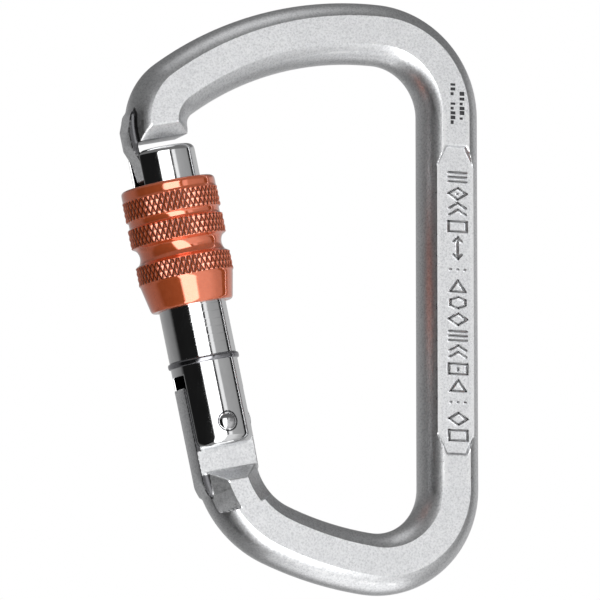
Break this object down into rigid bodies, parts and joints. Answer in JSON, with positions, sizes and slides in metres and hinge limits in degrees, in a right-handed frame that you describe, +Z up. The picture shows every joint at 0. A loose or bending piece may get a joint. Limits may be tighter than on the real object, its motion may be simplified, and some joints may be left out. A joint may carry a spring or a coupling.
{
  "type": "locking carabiner",
  "caption": "Large D-shaped steel connector with a spring-closed gate, a hook-and-pin latch and a knurled screw sleeve that locks the gate.",
  "frame": {"origin": "the point on the inside of the top curve where a hanging sling or anchor touches, in the middle of the bar's width", "axes": "+Z up along the straight spine, +X from the gate side to the spine, +Y through the loop, out of its back face"},
  "size_m": [0.0727, 0.0186, 0.1158],
  "materials": {
    "satin_steel": "satin zinc-plated forged steel",
    "polished_steel": "polished plated steel",
    "rivet_steel": "ground steel",
    "ring_steel": "dark spring steel",
    "spring_steel": "oiled spring wire",
    "orange_anodised": "orange anodised aluminium"
  },
  "bodies": {
    "frame": {"frame": "satin_steel"},
    "gate": {"gate_tube": "polished_steel", "hinge_rivet": "rivet_steel", "latch_pin": "rivet_steel", "stop_ring": "ring_steel", "gate_spring": "spring_steel"},
    "plunger": {"spring_plunger": "rivet_steel"},
    "carrier": {"friction_ring": "ring_steel"},
    "sleeve": {"screw_sleeve": "orange_anodised"}
  },
  "joints": [
    {"name": "gate_hinge", "type": "hinge", "parent": "frame", "child": "gate", "pos_m": [-0.0304, 0, -0.07215], "axis": [0, 1, 0], "range_deg": [0, 26], "stiffness_Nm_per_rad": 0.35, "springref_deg": -34.38, "deforming": ["gate_spring"]},
    {"name": "plunger_slide", "type": "slide", "parent": "gate", "child": "plunger", "axis": [-0.2147, 0, 0.9767], "range_m": [-0.00001, 0.00083]},
    {"name": "sleeve_travel", "type": "slide", "parent": "gate", "child": "carrier", "axis": [-0.2147, 0, 0.9767], "range_m": [-0.00975, 0.00525]},
    {"name": "sleeve_turn", "type": "hinge", "parent": "carrier", "child": "sleeve", "pos_m": [-0.0304, 0, -0.07215], "axis": [-0.2147, 0, 0.9767], "range_deg": [-2341, 1261]}
  ],
  "couplings": [
    {"joint": "plunger_slide", "follows": "gate_hinge", "m_per_rad": 0.0018},
    {"joint": "sleeve_turn", "follows": "sleeve_travel", "rad_per_m": 4188.8}
  ]
}
